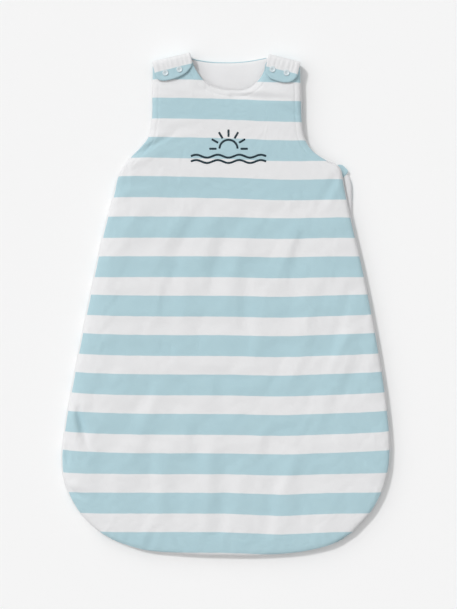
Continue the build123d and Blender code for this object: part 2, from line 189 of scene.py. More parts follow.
striped_jersey = jersey("striped_jersey", striped=True)
white_jersey = jersey("white_jersey", striped=False)

# ------------------------------------------------------------------ Cutting the front
# One pattern piece with a scooped neck, deep armholes, flared sides and a round foot. It is cut
# from the striped jersey, from loose polyester wadding and from the white lining.

FRONT_LEFT = [
    (-172, -321), (-196, -300), (-216, -272), (-227, -241), (-229.5, -214), (-226, -180),
    (-213, -105), (-191, 6), (-167, 116), (-157, 152), (-152, 174), (-146, 187), (-134, 204),
    (-119, 219.5), (-109, 232), (-104, 255), (-103, 290), (-102.5, 332),
]  # fmt: skip
FRONT_RIGHT = [
    (175, -319), (202, -289), (218, -259), (226.5, -228), (228.5, -198), (225, -150), (213, -68),
    (192, 42), (170, 138), (162.5, 176), (160.5, 187), (156, 193.5), (140, 201), (120, 215.5),
    (110, 231), (106, 255), (105, 290), (103.5, 332),
]  # fmt: skip
FRONT_FOOT = [
    (-172, -321), (-150, -331), (-118, -341.5), (-70, -347), (0, -350), (60, -349.3),
    (117, -343), (150, -333.5), (175, -319),
]  # fmt: skip
FRONT_TOP = [
    (-102.5, 332), (-76, 338.5), (-53, 344), (-48.5, 341), (-44, 331), (-35, 317), (-25, 307.5),
    (-12, 302), (8, 298.7), (25, 299.3), (36, 304), (46, 314), (54, 328), (57.5, 340),
    (62, 343), (82, 338.5), (103.5, 332),
]  # fmt: skip
COLUMNS, ROWS = 150, 224


def smooth_step(low, high, x):
    """0 below low, 1 above high, and in between three times the square less twice the cube."""
    t = np.clip((x - low) / (high - low), 0, 1)
    return t * t * (3 - 2 * t)


def curve_through(points, shares):
    """The points at these shares of the length of a smooth curve through the given points. Each
    stretch is a cubic whose end slopes average the slopes on both sides, the nearer one more."""
    p = np.array(points, float)
    step = np.linalg.norm(np.diff(p, axis=0), axis=1)[:, None]
    slope = np.diff(p, axis=0) / step
    inner = (slope[1:] * step[:-1] + slope[:-1] * step[1:]) / (step[:-1] + step[1:])
    ends = np.vstack([slope[:1], inner, slope[-1:]])
    t = np.linspace(0, 1, 24, endpoint=False)[None, :, None]
    h, a, b = step[:, None], p[:-1, None], p[1:, None]
    a_slope, b_slope = ends[:-1, None] * h, ends[1:, None] * h
    cubic = (
        (2 * t**3 - 3 * t**2 + 1) * a
        + (t**3 - 2 * t**2 + t) * a_slope
        + (3 * t**2 - 2 * t**3) * b
        + (t**3 - t**2) * b_slope
    )
    line = np.vstack([cubic.reshape(-1, p.shape[1]), p[-1:]])
    run = np.concatenate([[0], np.cumsum(np.linalg.norm(np.diff(line, axis=0), axis=1))])
    wanted = np.asarray(shares) * run[-1]
    return np.stack([np.interp(wanted, run, axis) for axis in line.T], -1)


def finer_at_ends(count, times):
    """Shares from 0 to 1 whose steps are smaller at both ends, by that many times."""
    t = np.linspace(0, 1, count)
    return t - (1 - 1 / times) * np.sin(2 * np.pi * t) / (2 * np.pi)


def patch(foot, top, left, right, columns=COLUMNS, rows=ROWS):
    """A grid between four edges: the straight mix of foot and top plus that of left and right,
    less the straight mix of the four corners."""
    across, up = finer_at_ends(columns, 8), finer_at_ends(rows, 10)
    low, high = curve_through(foot, across)[None], curve_through(top, across)[None]
    near, away = curve_through(left, up)[:, None], curve_through(right, up)[:, None]
    u, v = across[None, :, None], up[:, None, None]
    low_corners = (1 - u) * low[:, :1] + u * low[:, -1:]
    high_corners = (1 - u) * high[:, :1] + u * high[:, -1:]
    corners = (1 - v) * low_corners + v * high_corners
    return (1 - v) * low + v * high + (1 - u) * near + u * away - corners


def edge_of(grid):
    """The closed ring of points round a grid."""
    return np.concatenate([grid[0, :-1], grid[:-1, -1], grid[-1, :0:-1], grid[:0:-1, 0]])


def nearest_on(ring, grid):
    """For each point of a grid, how far the ring is and which of its points is nearest."""
    flat = grid.reshape(-1, 2)
    parts = [((part[:, None] - ring[None]) ** 2).sum(-1) for part in np.array_split(flat, 80)]
    which = np.concatenate([part.argmin(1) for part in parts])
    far = np.sqrt(np.concatenate([part.min(1) for part in parts]))
    return far.reshape(grid.shape[:2]), which.reshape(grid.shape[:2])


front_grid = patch(FRONT_FOOT, FRONT_TOP, FRONT_LEFT, FRONT_RIGHT)
front_ring = edge_of(front_grid)
front_far, front_which = nearest_on(front_ring, front_grid)

# ------------------------------------------------------------------ Padding the front
# Jersey, wadding and lining are sewn together round the edge and turned, so that the edge is a
# soft roll. The left side is also sewn down to the back; the rest of the edge stands free.

front_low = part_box("front_lining_upper")[0].z / MM
front_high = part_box("front_outer_panel_upper")[1].z / MM
SEWN_Z = 10.8
OPEN_Z = 13.4
ROLL_WIDE, ROLL_SHARE = 3.6, 0.50  # the rolled edge itself, and its share of the rise to the panel


def roll(x):
    """A quarter of an ellipse, rising from 0 to 1 as x goes from 0 to 1."""
    return np.sqrt(1 - (1 - np.clip(x, 0, 1)) ** 2)


def sewn_share(ring):
    """1 on the left side, which is sewn to the back, and 0 on the rest of the edge."""
    y = ring[:, 1]
    return (ring[:, 0] < -100) * smooth_step(-336, -306, y) * (1 - smooth_step(158, 190, y))


def layer(far, which, seam_z, level):
    """The height of one sheet, from the seam to its level inside. A share of the rise is a quarter
    of an ellipse at the very edge, and the rest nears its end by an exponential decay, over about
    half the rise."""
    seam = seam_z[which]
    rise = level - seam
    filled = 1 - np.exp(-far / (0.47 * np.abs(rise) + 0.5))
    return seam + rise * (ROLL_SHARE * roll(far / ROLL_WIDE) + (1 - ROLL_SHARE) * filled)


def crease(grid, start, end, width, height, fade=0.0):
    """A soft ridge along a straight stretch: a bell across it and over its two ends. Fade says how
    much of its height is gone by the time that it reaches its end."""
    start, end = np.array(start, float), np.array(end, float)
    run = end - start
    t = np.clip(((grid - start) @ run) / (run @ run), 0, 1)
    off = grid - start - t[..., None] * run
    return height * (1 - fade * smooth_step(0.1, 1, t)) * np.exp(-(off**2).sum(-1) / width**2)


def swell(grid, seed, amount, sizes=(95, 62, 38)):
    """Slow unevenness of the wadding: a few crossed waves in seeded directions, finer ones lower."""
    rng = np.random.default_rng(seed)
    total = np.zeros(grid.shape[:2])
    for size in sizes:
        for _ in range(3):
            angle, phase = rng.uniform(0, 2 * np.pi, 2)
            along = grid @ np.array([np.cos(angle), np.sin(angle)])
            total += np.sin(2 * np.pi * along / size + phase) * size / sizes[0]
    return total * amount / 3


FOLDS = [  # start, end, width and height of each pulled fold, a valley where the height is below 0
    ((-206, -148), (-188, -216), 4.0, -4.4), ((-214, -156), (-198, -226), 6.5, 2.8),
    ((-196, -140), (-179, -205), 8.0, 1.2), ((-222.5, -200), (-220, -236), 2.8, -3.6),
    ((-217, -260), (-190, -273), 3.4, -3.0), ((-211, -250), (-184, -262), 5.0, 1.6),
    ((-136, 204), (-50, 250), 4.5, -2.6), ((-132, 213), (-52, 260), 6.5, 1.9),
    ((-128, 196), (-66, 226), 7.0, 1.1), ((-88, 242), (-30, 250), 6.5, -0.8),
    ((-139, 196), (-137, 162), 3.5, -1.3), ((-131, 196), (-130, 156), 5.0, 0.8),
    ((-150, 168), (-92, 172), 4.5, -0.8), ((-152, 152), (-98, 160), 5.0, 0.7),
    ((10, 291), (100, 284), 3.8, -2.6), ((14, 298), (100, 293), 5.0, 1.8),
    ((101, 262), (50, 286), 4.5, -1.5), ((-40, 300), (-12, 291), 3.0, -0.7),
    ((150, 172), (118, 120), 5.5, -0.9), ((158, 168), (132, 112), 7.0, 0.9),
    ((106, 96), (84, 20), 7.5, -0.9), ((94, 100), (72, 14), 10.0, 0.9),
    ((176, 24), (112, -160), 10.0, -1.4), ((168, -44), (120, -140), 8.0, 1.3),
    ((-4, 108), (-50, -112), 10.0, -0.8), ((-20, 112), (-64, -104), 12.0, 0.8),
    ((-80, 60), (-112, -60), 9.0, 0.8), ((205, -60), (196, -130), 7.0, 0.8),
    ((60, -190), (8, -320), 10.0, -0.9), ((96, -214), (52, -330), 10.0, 0.9),
    ((215, -236), (170, -214), 7.0, 0.8), ((206, -252), (168, -232), 6.0, -0.7),
    ((-120, -334), (-100, -290), 7.0, 0.8), ((-106, -336), (-90, -300), 5.0, -0.7),
]  # fmt: skip
FOLD_LEAN, FOLD_PITCH = 0.34, 58.0


def long_folds(x, y):
    """Loose folds that run down the body, leaning to the left: a slow sine across them, bent by a
    second sine along them, that swells and fades, and a finer sine between."""
    across = x - FOLD_LEAN * y + 9 * np.sin(y / 41 + 0.6)
    loose = 0.6 + 0.4 * np.sin((y + 40) / 49 + x / 90)
    fine = 0.28 * np.sin((0.95 * x - 0.25 * y) / 5.2 + 2 * np.sin(y / 37))
    return 0.85 * loose * np.sin(across * 2 * np.pi / FOLD_PITCH + 1.1) + fine * loose


def front_relief(grid, far, which):
    """Puffed wadding with loose folds down the body, folds where the fabric pulls, the topstitched
    line beside the neck and arms, puckers at the seams, and the dents that the tabs press in."""
    x, y = grid[..., 0], grid[..., 1]
    body = 1 - smooth_step(110, 190, y)
    relief = 1.1 * (1 - np.exp(-far / 45)) + swell(grid, 7, 0.42) * (1 - np.exp(-far / 18))
    relief += long_folds(x, y) * body * (1 - np.exp(-((far / 26) ** 2)))
    pulls = sum(crease(grid, *fold, fade=1.0) for fold in FOLDS)
    relief += pulls * roll(far / 12)
    upper = smooth_step(185, 200, y)
    relief -= 0.7 * upper * np.exp(-(((far - 9) / 1.3) ** 2))
    relief -= 0.25 * (1 - upper) * np.exp(-(((far - 12) / 5) ** 2))
    relief -= 2.4 * sewn_share(front_ring)[which] * np.exp(-far / 15) * roll(far / 6)
    run = np.concatenate([[0], np.cumsum(np.linalg.norm(np.diff(front_ring, axis=0), axis=1))])[which]
    gathers = np.sin(run / 2.1 + 1.7 * np.sin(run / 11.3)) * (0.6 + 0.4 * np.sin(run / 23))
    relief += 0.28 * gathers * np.exp(-far / 9) * roll(far / 4)
    tab = smooth_step(300, 312, y) * smooth_step(48, 58, np.abs(x))
    return relief * (1 - tab) - 0.35 * tab


def grid_faces(rows, columns, flip=False):
    """The four-sided faces of a grid, numbered row by row."""
    index = np.arange(rows * columns).reshape(rows, columns)
    corners = [index[:-1, :-1], index[:-1, 1:], index[1:, 1:], index[1:, :-1]]
    faces = np.stack(corners, -1).reshape(-1, 4)
    return (faces[:, ::-1] if flip else faces).tolist()


def piece(name, points, faces, material, cut=None):
    """A smooth mesh from points in millimetres. cut is where each point lies in the flat cloth."""
    mesh = bpy.data.meshes.new(name)
    mesh.from_pydata(np.reshape(points, (-1, 3)) * MM, [], faces)
    mesh.shade_smooth()
    mesh.materials.append(material)
    if cut is not None:
        flat = np.zeros((len(mesh.vertices), 3), np.float32)
        flat[:, :2] = np.reshape(cut, (-1, 2)) * MM
        mesh.attributes.new("cut", "FLOAT_VECTOR", "POINT").data.foreach_set("vector", flat.ravel())
    made = bpy.data.objects.new(name, mesh)
    bpy.context.scene.collection.objects.link(made)
    return made


def thicken(made, thickness, offset=-1.0):
    """Gives a sheet its thickness, in millimetres, on the side away from its normals."""
    wall = made.modifiers.new("thickness", "SOLIDIFY")
    wall.thickness, wall.offset = thickness * MM, offset
    return made


def with_height(grid, z):
    return np.concatenate([grid, z[..., None]], -1)


def cloth_place(grid):
    """Where the flat cloth's points lie: the bands bow a little, lean across the chest and lift
    towards the sides at the hips."""
    x, y = grid[..., 0], grid[..., 1]
    bow = 1.6 * np.exp(-(((x - 75) / 50) ** 2)) * (1 + smooth_step(-220, -300, y))
    lean = 2.0 * np.clip(x / 110, -1, 1) * smooth_step(90, 170, y)
    hips = smooth_step(40, 0, y) * (1 - smooth_step(-200, -260, y))
    lift = 2.2 * (np.abs(x) / 190) ** 4 * hips
    return np.stack([x, y + 0.6 + bow + lean - lift], -1)


def flat_area(grid):
    """The area of a flat grid, from the cross product of each cell's diagonals, in square metres."""
    d1, d2 = grid[1:, 1:] - grid[:-1, :-1], grid[1:, :-1] - grid[:-1, 1:]
    return float(np.abs(d1[..., 0] * d2[..., 1] - d1[..., 1] * d2[..., 0]).sum() / 2) * MM**2


front_seam = OPEN_Z + (SEWN_Z - OPEN_Z) * sewn_share(front_ring)
front_seam += crease(front_ring, (-50, 338), (-38, 318), 13.0, 5.0)  # the neck stands up at the left
front_z = layer(front_far, front_which, front_seam, front_high)
front_z += front_relief(front_grid, front_far, front_which)
front_surface = with_height(front_grid, front_z)
front_underside = with_height(
    front_grid, layer(front_far, front_which, front_seam, front_low + 0.2)
)

# Jersey is a little fuller than the pad under it, so it wrinkles. That is settled by a simulation of
# a coarse copy: the cloth grows, the seams hold it, and the wadding pulls it back like weak springs.
SIM_ROWS, SIM_COLUMNS, SIM_FRAMES = 150, 100, 18
FULLNESS = 0.014  # how much longer the jersey is than the pad
WADDING_HOLD = 0.35  # the wadding's pull, as a share of the seams'
LEFT_BY_WADDING = 0.55  # the share of a wrinkle that is left when the wadding has filled it
MOST_MOVED = 1.0  # the furthest that a point may move, up or down
PAD_LEAST = 1.3  # the jersey stays this far above the lining


def settled(surface, far):
    """How far up each point of a sheet moves when its jersey settles."""
    scene = bpy.context.scene
    rows = np.linspace(0, ROWS - 1, SIM_ROWS).round().astype(int)
    columns = np.linspace(0, COLUMNS - 1, SIM_COLUMNS).round().astype(int)
    coarse = surface[np.ix_(rows, columns)]
    trial = piece("settling", coarse, grid_faces(SIM_ROWS, SIM_COLUMNS), striped_jersey)
    held = trial.vertex_groups.new(name="held")
    under_tab = (coarse[..., 1] > 300) & (np.abs(coarse[..., 0]) > 48)
    sewn = ((far[np.ix_(rows, columns)] < 2.0) | under_tab).ravel()
    held.add(np.flatnonzero(sewn).tolist(), 1.0, "REPLACE")
    held.add(np.flatnonzero(~sewn).tolist(), WADDING_HOLD, "REPLACE")
    cloth = trial.modifiers.new("settling", "CLOTH")
    cloth.settings.quality = 6
    cloth.settings.mass = 0.15
    cloth.settings.tension_stiffness = 25
    cloth.settings.compression_stiffness = 25
    cloth.settings.shear_stiffness = 8
    cloth.settings.bending_stiffness = 0.6
    cloth.settings.pin_stiffness = 1.0
    cloth.settings.vertex_group_mass = held.name
    cloth.settings.shrink_min = -FULLNESS
    cloth.settings.effector_weights.gravity = 0
    cloth.collision_settings.use_collision = False
    cloth.collision_settings.use_self_collision = False
    cloth.point_cache.frame_end = SIM_FRAMES
    for step in range(1, SIM_FRAMES + 1):
        scene.frame_set(step)
    result = trial.evaluated_get(bpy.context.evaluated_depsgraph_get()).data
    placed = np.zeros(coarse.size, np.float32)
    result.vertices.foreach_get("co", placed)
    moved = placed.reshape(coarse.shape)[..., 2] / MM - coarse[..., 2]
    bpy.data.objects.remove(trial)
    scene.frame_set(1)
    wide = np.stack([np.interp(np.arange(COLUMNS), columns, row) for row in moved])
    full = np.stack([np.interp(np.arange(ROWS), rows, column) for column in wide.T], 1)
    return MOST_MOVED * np.tanh(LEFT_BY_WADDING * full / MOST_MOVED)


front_surface[..., 2] += settled(front_surface, front_far)
front_least = front_underside[..., 2] + PAD_LEAST * roll(front_far / 4)
front_surface[..., 2] = np.maximum(front_surface[..., 2], front_least)

front_cover = piece(
    "front_cover", front_surface, grid_faces(ROWS, COLUMNS), striped_jersey, cloth_place(front_grid)
)
thicken(front_cover, 0.9)
front_inside = piece(
    "front_inside", front_underside, grid_faces(ROWS, COLUMNS, flip=True), white_jersey, front_grid
)
thicken(front_inside, 0.7)


def fold_with_front(made):
    """Bakes the piece's place into its mesh points; the piece is not folded with the front."""
    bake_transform(made)


fold_with_front(front_cover)
fold_with_front(front_inside)
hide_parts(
    "front_outer_panel_upper",
    "front_outer_panel_flap",
    "front_wadding_upper",
    "front_wadding_flap",
)
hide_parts("front_lining_upper", "front_lining_flap")
front_area = flat_area(front_grid)

# ------------------------------------------------------------------ The padded back
# The back is cut like the front, with a higher neck. It lies flat on the surface. Its edge shows a
# little round the foot, and under the right arm it reaches past the front to carry the zip's end.

BACK_LEFT = [(x - 0.6, y) for x, y in FRONT_LEFT]
BACK_FOOT = [(x, y - 1.0) for x, y in FRONT_FOOT]
BACK_FOOT[0], BACK_FOOT[-1] = (-172.6, -321), (176, -320)
BACK_RIGHT = [
    (176, -320), (203.5, -289.5), (219.5, -259), (228, -228), (230, -198), (226.3, -150),
    (214.2, -68), (193.2, 42), (180.5, 98), (177.2, 122), (176.8, 150), (176.2, 168),
    (171.5, 181.5), (161, 190), (140, 200), (120, 215), (110, 231), (106, 255), (105, 290),
    (104, 334),
]  # fmt: skip
BACK_TOP = [
    (-103.1, 332), (-76, 340.2), (-53, 346), (-42, 343.2), (-24, 340.2), (0, 339), (24, 340),
    (44, 343), (57, 345.6), (80, 340), (104, 334),
]  # fmt: skip
BACK_SEWN_Z = 9.0
BACK_OPEN_Z = 3.2

back_grid = patch(BACK_FOOT, BACK_TOP, BACK_LEFT, BACK_RIGHT)
back_ring = edge_of(back_grid)
back_far, back_which = nearest_on(back_ring, back_grid)
back_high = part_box("back_lining")[1].z / MM
back_seam = BACK_OPEN_Z + (BACK_SEWN_Z - BACK_OPEN_Z) * sewn_share(back_ring)
ledge = crease(back_grid, (172, 176), (174, 128), 10.0, 1.6)
neck_rise = crease(back_grid, (2, 324), (42, 322), 22.0, 3.2)
back_inner = with_height(
    back_grid,
    layer(back_far, back_which, back_seam, back_high)
    + (0.6 * (1 - np.exp(-back_far / 40)) + ledge + neck_rise) * roll(back_far / 6),
)
back_under = with_height(back_grid, layer(back_far, back_which, back_seam, 0.0))

# The two sheets meet at the edge, and the jersey wraps over it.
back_cover = piece(
    "back_cover", back_under, grid_faces(ROWS, COLUMNS, flip=True), striped_jersey,
    cloth_place(back_grid),
)  # fmt: skip
thicken(back_cover, 0.9)
back_inside = piece(
    "back_inside", back_inner, grid_faces(ROWS, COLUMNS), white_jersey, back_grid
)
thicken(back_inside, 0.7)
for made, slot in ((back_cover, "outer_fabric"), (back_inside, "lining")):
    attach(made, "root")
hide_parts("back_outer_panel", "back_wadding")
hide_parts("back_lining")
back_area = flat_area(back_grid)

# ------------------------------------------------------------------ Sewing the left side
# Front and back are sewn together down the left side. The two allowances inside are bound with a
# narrow white tape, which shows from the side as a fine cord between the two rolled edges.

SIDE_LINE = [
    (-149.5, 183), (-163, 118), (-187, 6), (-209, -105), (-222, -180), (-225, -214),
    (-222.5, -241), (-212, -270), (-193, -297), (-165, -316.5),
]  # fmt: skip


def around(count):
    """That many points round a circle of radius 1, each turned the same angle from the last."""
    angle = np.linspace(0, 2 * np.pi, count, endpoint=False)
    return np.stack([np.cos(angle), np.sin(angle)], -1)


def sideways(line):
    """The level direction square to a flat line at each of its points, to the right of its way."""
    way = np.gradient(line, axis=0)
    way /= np.linalg.norm(way, axis=1)[:, None]
    return np.stack([way[:, 1], -way[:, 0]], -1)


def carried(line, z, profile, sizes=None):
    """Rings of a tube: each profile point goes sideways from the line by its first number times the
    ring's size, and up from z by its second number times that size."""
    sizes = np.ones(len(line)) if sizes is None else sizes
    rings = np.zeros((len(line), len(profile), 3))
    reach = sizes[:, None] * profile[None, :, 0]
    rings[..., :2] = line[:, None] + reach[..., None] * sideways(line)[:, None]
    rings[..., 2] = np.reshape(z, (-1, 1)) + sizes[:, None] * profile[None, :, 1]
    return rings


def tube_faces(rings, sides, first=0):
    """Four-sided faces round a tube of rings, and one face that closes each end."""
    index = first + np.arange(rings * sides).reshape(rings, sides)
    turned = np.roll(index, -1, 1)
    walls = np.stack([index[:-1], index[1:], turned[1:], turned[:-1]], -1).reshape(-1, 4)
    return walls.tolist() + [index[0].tolist(), index[-1, ::-1].tolist()]


def tapered(count, ends=5):
    """Sizes of 1 that fall to almost 0 over a few rings at both ends, on a quarter of a circle."""
    near = np.minimum(np.arange(count), np.arange(count)[::-1])
    return np.maximum(roll(near / ends), 0.02)


binding = Finish("side_binding", sheen_weight=0.15, specular_ior_level=0.3)
lie = binding.place()
binding.set("Base Color", binding.mix(binding.noise(lie, 60.0), WHITE, WARM_WHITE))
binding.set("Roughness", binding.noise(lie, 400.0) * 0.15 + 0.72)
_, binding_y, _ = binding.split(lie)
binding.bump((binding_y * (2 * np.pi / (0.9 * MM))).sine() * 0.5 + binding.noise(lie, 900.0), 0.0002)

SIDE_RINGS, CORD_SIDES = 240, 12
SIDE_Z = 9.9
side_line = curve_through(SIDE_LINE, np.linspace(0, 1, SIDE_RINGS))
side_binding = piece(
    "side_binding",
    carried(side_line, SIDE_Z, around(CORD_SIDES) * (1.0, 1.25), tapered(SIDE_RINGS)),
    tube_faces(SIDE_RINGS, CORD_SIDES),
    binding.material,
)
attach(side_binding, "root")
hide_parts("side_seam")

# ------------------------------------------------------------------ The back neck's edge
# At the back neck the striped jersey is rolled over the raw edge and stitched down inside, so that a
# thin blue line shows along the white lining.
# That blue is partly painted shade: it also stands for the shadow line along the edge.

NECK_RINGS, NECK_Z = 160, 4.6
IN_BLUE = BLUE_TOP - 14  # a height in the pattern that lies inside a blue band
neck_line = curve_through(BACK_TOP[2:9], np.linspace(0, 1, NECK_RINGS)) + (0, -0.3)
neck_rings = carried(neck_line, NECK_Z, around(CORD_SIDES) * (0.8, 1.1), tapered(NECK_RINGS))
# The cord is always cut from a blue band, so its colour is partly the jersey's print and partly
# painted shade along the edge.
neck_cut = np.stack([neck_rings[..., 0], np.full(neck_rings.shape[:2], IN_BLUE)], -1)
neck_faces = tube_faces(NECK_RINGS, CORD_SIDES)
neck_edge = piece("neck_edge", neck_rings, neck_faces, striped_jersey, neck_cut)
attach(neck_edge, "root")

# ------------------------------------------------------------------ Setting in the zip
# A white plastic zip runs from under the right arm down the side, along the foot and a little up
# the left corner. One woven tape is sewn to each panel, and the teeth are moulded on their edges.

ZIP_LINE = [
    (147.7, 187.7), (181.2, 25.7), (208.6, -107.0), (214.6, -136.3), (220.3, -170), (222.2, -204),
    (214.1, -249.7), (191.0, -289.8), (155.5, -319.6), (108.1, -336.1), (54, -341.5), (0, -343.5),
    (-54, -341.5), (-108.1, -336.1), (-153.4, -320.8),
]  # fmt: skip
TOOTH_PITCH = 2.0
FIRST_TOOTH = 5.0  # from the tape's upper end
TEETH_SPLIT_Z = 10.5
TOOTH_HALF = 1.15  # half a tooth's width, across the zip
TEETH_MESH = 0.45  # how far each row reaches past the split between them
LOWER_TAPE_Z, UPPER_TAPE_Z = (5.7, 8.9), (12.1, 15.5)
LOWER_TEETH_Z, UPPER_TEETH_Z = (8.3, TEETH_SPLIT_Z + TEETH_MESH), (TEETH_SPLIT_Z - TEETH_MESH, 12.7)
TAPE_SIDES = np.array(
    [(0.4, -0.9), (0.4, 0.9), (0.3, 1), (-0.3, 1), (-0.4, 0.9), (-0.4, -0.9), (-0.3, -1), (0.3, -1)]
)

tape_finish = Finish("zip_tape_weave", sheen_weight=0.1, specular_ior_level=0.3)
lie = tape_finish.place()
along_x, along_y, along_z = tape_finish.split(lie)
ribs = ((along_x + along_y) * (2 * np.pi / (0.7 * MM))).sine()
ribs = ribs * (along_z * (2 * np.pi / (0.5 * MM))).sine()
tape_white = tape_finish.mix(ribs * 0.25 + 0.5, (0.80, 0.80, 0.80, 1), (0.70, 0.71, 0.72, 1))
tape_finish.set("Base Color", tape_white)
tape_finish.set("Roughness", tape_finish.noise(lie, 500.0) * 0.1 + 0.75)
tape_finish.bump(ribs, 0.00012)

tooth_finish = Finish("moulded_zip_teeth", specular_ior_level=0.5)
lie = tooth_finish.place()
tooth_finish.set(
    "Base Color",
    tooth_finish.mix(tooth_finish.noise(lie, 180.0), (0.83, 0.83, 0.82, 1), (0.76, 0.77, 0.77, 1)),
)
tooth_finish.set("Roughness", tooth_finish.noise(lie, 350.0) * 0.2 + 0.30)
tooth_finish.bump(tooth_finish.noise(lie, 1500.0), 0.00004)

zip_line = curve_through(ZIP_LINE, np.linspace(0, 1, 430))
fine_zip_line = curve_through(ZIP_LINE, np.linspace(0, 1, 900))
zip_length = np.linalg.norm(np.diff(fine_zip_line, axis=0), axis=1).sum()


def zip_tape(name, low, high):
    """A woven strip that stands on edge along the zip's line."""
    middle, half = (low + high) / 2, (high - low) / 2
    rings = carried(zip_line, middle, TAPE_SIDES * (1, half))
    return piece(name, rings, tube_faces(len(zip_line), len(TAPE_SIDES)), tape_finish.material)


def zip_teeth(name, start, low, high):
    """A row of equal teeth. Each is an eight-sided block across the zip, a little smaller at both
    its faces, and the rows are half a pitch apart, so that their heads reach between each other."""
    places = np.arange(FIRST_TOOTH + start, zip_length - 2.0, TOOTH_PITCH)
    centre = curve_through(ZIP_LINE, places / zip_length)
    out = sideways(centre)
    run = np.stack([-out[:, 1], out[:, 0]], -1)
    half = (high - low) / 2
    turned = around(8) @ np.array([[0.924, -0.383], [0.383, 0.924]])  # by half of an eighth
    sides = turned * (TOOTH_HALF, half * 1.06)
    sizes = np.array([0.80, 1.0, 1.0, 0.80])
    deep = np.array([-0.44, -0.30, 0.30, 0.44])
    block = np.zeros((len(places), 4, 8, 3))
    across = (sizes[:, None] * sides[None, :, 0])[None, ..., None] * out[:, None, None]
    block[..., :2] = centre[:, None, None] + across + deep[None, :, None, None] * run[:, None, None]
    block[..., 2] = (low + high) / 2 + sizes[:, None] * sides[None, :, 1]
    faces = [face for k in range(len(places)) for face in tube_faces(4, 8, 32 * k)]
    return piece(name, block, faces, tooth_finish.material)


lower_tape = zip_tape("zip_tape_lower", *LOWER_TAPE_Z)
upper_tape = zip_tape("zip_tape_upper", *UPPER_TAPE_Z)
lower_teeth = zip_teeth("zip_teeth_lower", 0.0, *LOWER_TEETH_Z)
upper_teeth = zip_teeth("zip_teeth_upper", TOOTH_PITCH / 2, *UPPER_TEETH_Z)
for made, slot in ((lower_tape, "zip_tape"), (lower_teeth, "zip_teeth")):
    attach(made, "root")
for made, slot in ((upper_tape, "zip_tape"), (upper_teeth, "zip_teeth")):
    fold_with_front(made)
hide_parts("zip_tape_back")
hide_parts("zip_tape_front_upper", "zip_tape_front_flap")
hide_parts("zip_teeth_back")
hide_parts("zip_teeth_front_upper", "zip_teeth_front_flap")

# The slider, its pull and the stops are die-cast and nickel plated, tumbled to a soft shine.
nickel = Finish("nickel_plate", metallic=1.0)
lie = nickel.place()
tumbled = nickel.noise(lie, 900.0, 4.0)
clouds = nickel.noise(lie, 120.0, 3.0)
nickel.set("Base Color", nickel.mix(clouds, (0.66, 0.65, 0.63, 1), (0.52, 0.52, 0.51, 1)))
nickel.set("Roughness", clouds * 0.16 + tumbled * 0.12 + 0.18)
nickel.bump(tumbled, 0.00003)


def finish_node(node, material):
    """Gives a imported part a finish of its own."""
    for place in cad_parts[node].material_slots:
        place.material = material


for node in ("zip_slider", "zip_pull", "zip_top_stops", "zip_bottom_stop"):
    finish_node(node, nickel.material)

# ------------------------------------------------------------------ The zip guard
# Under the right arm a small folded pad of the striped jersey covers the zip's upper end, so that
# the slider can't scratch. It is sewn to the back's ledge.

GUARD = [
    (152, 194.2), (158, 195.8), (162.5, 195.4), (167, 191.8), (170.9, 186.6), (170.3, 184.6),
    (166.5, 180.2), (163.0, 177.2), (160.5, 177.6), (157.0, 182.5), (153.0, 189.5),
]  # fmt: skip
GUARD_RINGS, GUARD_SIDES = 22, 72
GUARD_Z = (6.0, 8.0)


def cushion(outline, low, high, rings, sides):
    """A small pad: its smoothed outline shrinks to the middle at top and bottom by the 0.3 power of
    a cosine, while the height follows the sine."""
    closed = curve_through(outline + [outline[0]], np.linspace(0, 1, sides, endpoint=False))
    middle = closed.mean(0)
    angle = np.linspace(-np.pi / 2, np.pi / 2, rings)
    sizes = np.maximum(np.cos(angle) ** 0.3, 0.01)
    points = np.zeros((rings, sides, 3))
    points[..., :2] = middle + sizes[:, None, None] * (closed - middle)
    points[..., 2] = ((low + high) / 2 + (high - low) / 2 * np.sin(angle))[:, None]
    return points


guard_points = cushion(GUARD, *GUARD_Z, GUARD_RINGS, GUARD_SIDES)
guard_cut = guard_points[..., :2] * (1, 0.3) + (0, IN_BLUE - 0.3 * 186)
guard_faces = tube_faces(GUARD_RINGS, GUARD_SIDES)
zip_guard = piece("zip_guard", guard_points, guard_faces, striped_jersey, guard_cut)
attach(zip_guard, "root")
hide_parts("underarm_zip_guard")

# ------------------------------------------------------------------ The shoulder straps
# Each strap is cut with the stripes, lined and lightly padded. It is sewn into the back's shoulder,
# stands up at the shoulder, folds over and lies on the front as a short tab with a round end.

STRAP_PATH = [
    (-9, 3), (-4, 3), (-0.5, 3.2), (1.5, 5), (1.9, 8), (1.9, 12), (1.9, 17), (1.3, 20.8),
    (-1.0, 22.9), (-4, 23.3), (-12, 23.2), (-22, 23.1), (-31, 23.2),
]  # fmt: skip
STRAP_HALF = 1.85  # half the padded strap's thickness
STRAP_ROLL = 3.2  # how far in from its edge the strap is full
STRAP_COLUMNS, STRAP_ROWS = 70, 110
WHITE_AT_FOLD = {"left": 13.0, "right": 15.0}  # of the tab, before its blue band starts
SHOULDER_X, SHOULDER_Y = 78.45, 340.5
SHOULDER_SLOPE = 0.2411
TAB_EDGES = {"left": (-24.5, 30.0), "right": (-20.0, 25.5)}
TAB_END = {  # the round end's outline, across the strap and up from the path's end
    "left": [
        (-24.5, 13.5), (-22, 7.5), (-16, 4.4), (-7, 3.2), (2, 3.4), (12, 5.2), (21, 9.0),
        (27, 14.5), (30, 22),
    ],
    "right": [
        (-20, 14), (-17.6, 6.5), (-12, 2.0), (-3, 0.2), (8, 0), (16, 2.0), (21.5, 6.0),
        (24.4, 11), (25.5, 17),
    ],
}  # fmt: skip
STUD_X, STUD_Y = 10.0, -17.0  # from the middle of the fold, sideways and towards the tab's end
BEND_START, BEND_END = (1.9, 16.5), (-5.1, 25.0)  # outwards and up, where the strap's bend is
strap_run = curve_through(STRAP_PATH, np.linspace(0, 1, 400))
strap_length = np.linalg.norm(np.diff(strap_run, axis=0), axis=1).sum()
